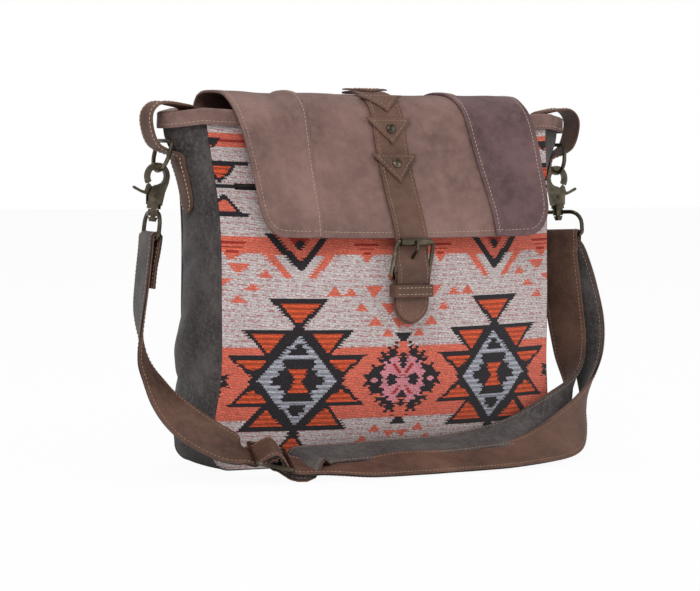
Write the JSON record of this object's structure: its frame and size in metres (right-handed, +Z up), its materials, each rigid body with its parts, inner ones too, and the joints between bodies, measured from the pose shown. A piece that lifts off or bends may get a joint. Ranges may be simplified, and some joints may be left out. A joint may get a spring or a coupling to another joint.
{
  "type": "flap crossbody bag",
  "caption": "Boxy crossbody bag: woven patterned front, dark canvas sides, leather flap with a buckled centre strap, and an adjustable shoulder strap on trigger hooks.",
  "frame": {"origin": "on the floor under the middle of the bag, on the base's flat underside", "axes": "+X to the bag's left as seen from behind (right in the picture), -Y out of the woven front, +Z up"},
  "size_m": [0.4491, 0.1693, 0.3071],
  "materials": {
    "woven_cotton": "heavy flat weave in warm grey, orange, coral, pink, silver and black",
    "washed_canvas": "washed dark grey canvas",
    "flap_leather": "matt brown leather with a mauve cast",
    "strap_leather": "matt dark brown leather with pale stitching",
    "antique_brass": "dark antique brass with rubbed edges",
    "zip_cloth": "dark zip tape with small teeth"
  },
  "bodies": {
    "bag": {"front_panel": "woven_cotton", "back_panel": "washed_canvas", "gusset": "washed_canvas", "top_binding": "flap_leather", "flap_seam_strip": "flap_leather", "zip_tape": "zip_cloth", "snap_socket": "antique_brass", "tab_left": "strap_leather", "tab_right": "strap_leather", "shoulder_strap": "strap_leather", "strap_slider": "antique_brass"},
    "flap": {"flap_left": "flap_leather", "flap_centre": "flap_leather", "flap_right": "flap_leather", "centre_strap": "strap_leather", "triangle_patch_1": "strap_leather", "triangle_patch_2": "strap_leather", "triangle_patch_3": "strap_leather", "triangle_patch_4": "strap_leather", "patch_rivet_1": "antique_brass", "patch_rivet_2": "antique_brass", "buckle_frame": "antique_brass", "buckle_prong": "antique_brass", "buckle_base_strap": "strap_leather", "buckle_keeper": "strap_leather", "snap_male": "antique_brass"},
    "buckle_roller": {"buckle_roller": "antique_brass"},
    "zip_slider": {"zip_slider": "antique_brass"},
    "zip_pull": {"zip_pull": "antique_brass"},
    "d_ring_left": {"d_ring_left": "antique_brass"},
    "hook_left": {"hook_body_left": "antique_brass", "hook_pin_left": "antique_brass"},
    "hook_trigger_left": {"hook_trigger_left": "antique_brass"},
    "swivel_eye_left": {"swivel_eye_left": "antique_brass"},
    "d_ring_right": {"d_ring_right": "antique_brass"},
    "hook_right": {"hook_body_right": "antique_brass", "hook_pin_right": "antique_brass"},
    "hook_trigger_right": {"hook_trigger_right": "antique_brass"},
    "swivel_eye_right": {"swivel_eye_right": "antique_brass"}
  },
  "joints": [
    {"name": "flap_hinge", "type": "hinge", "parent": "bag", "child": "flap", "pos_m": [0, 0.0465, 0.262], "axis": [-1, 0, 0], "range_deg": [0, 160]},
    {"name": "roller_spin", "type": "hinge", "parent": "flap", "child": "buckle_roller", "pos_m": [0, -0.07602, 0.1835], "axis": [1, 0, 0], "continuous": true},
    {"name": "zip_travel", "type": "hinge", "parent": "bag", "child": "zip_slider", "pos_m": [0, 1.01065, 0.224], "axis": [0, 0, -1], "range_deg": [0, 14.49]},
    {"name": "zip_pull_swing", "type": "hinge", "parent": "zip_slider", "child": "zip_pull", "pos_m": [0.13284, -0.03426, 0.22497], "axis": [-0.0421, 0.3314, 0.9425], "range_deg": [0, 110]},
    {"name": "d_ring_left_swing", "type": "hinge", "parent": "bag", "child": "d_ring_left", "pos_m": [-0.1838, 0.00519, 0.262], "axis": [0, 1, 0], "range_deg": [-4, 60], "deforming": ["shoulder_strap"]},
    {"name": "hook_left_swing", "type": "hinge", "parent": "d_ring_left", "child": "hook_left", "pos_m": [-0.19014, 0.00519, 0.23833], "axis": [0, 1, 0], "range_deg": [-3, 60], "deforming": ["shoulder_strap"]},
    {"name": "swivel_left_turn", "type": "hinge", "parent": "hook_left", "child": "swivel_eye_left", "pos_m": [-0.19332, 0.00519, 0.20805], "axis": [-0.1045, 0, -0.9945], "range_deg": [-30, 20], "deforming": ["shoulder_strap"]},
    {"name": "trigger_left_press", "type": "hinge", "parent": "hook_left", "child": "hook_trigger_left", "pos_m": [-0.19223, 0.00519, 0.21849], "axis": [0, 1, 0], "range_deg": [0, 30], "stiffness_Nm_per_rad": 0.02, "springref_deg": -17.19},
    {"name": "d_ring_right_swing", "type": "hinge", "parent": "bag", "child": "d_ring_right", "pos_m": [0.1838, 0.00519, 0.262], "axis": [0, -1, 0], "range_deg": [0, 60], "deforming": ["shoulder_strap"]},
    {"name": "hook_right_swing", "type": "hinge", "parent": "d_ring_right", "child": "hook_right", "pos_m": [0.18508, 0.00519, 0.23753], "axis": [0, -1, 0], "range_deg": [-1, 60], "deforming": ["shoulder_strap"]},
    {"name": "swivel_right_turn", "type": "hinge", "parent": "hook_right", "child": "swivel_eye_right", "pos_m": [0.18774, 0.00519, 0.2072], "axis": [0.0872, 0, -0.9962], "range_deg": [-10, 35], "deforming": ["shoulder_strap"]},
    {"name": "trigger_right_press", "type": "hinge", "parent": "hook_right", "child": "hook_trigger_right", "pos_m": [0.18682, 0.00519, 0.21766], "axis": [0, -1, 0], "range_deg": [0, 30], "stiffness_Nm_per_rad": 0.02, "springref_deg": -17.19}
  ]
}
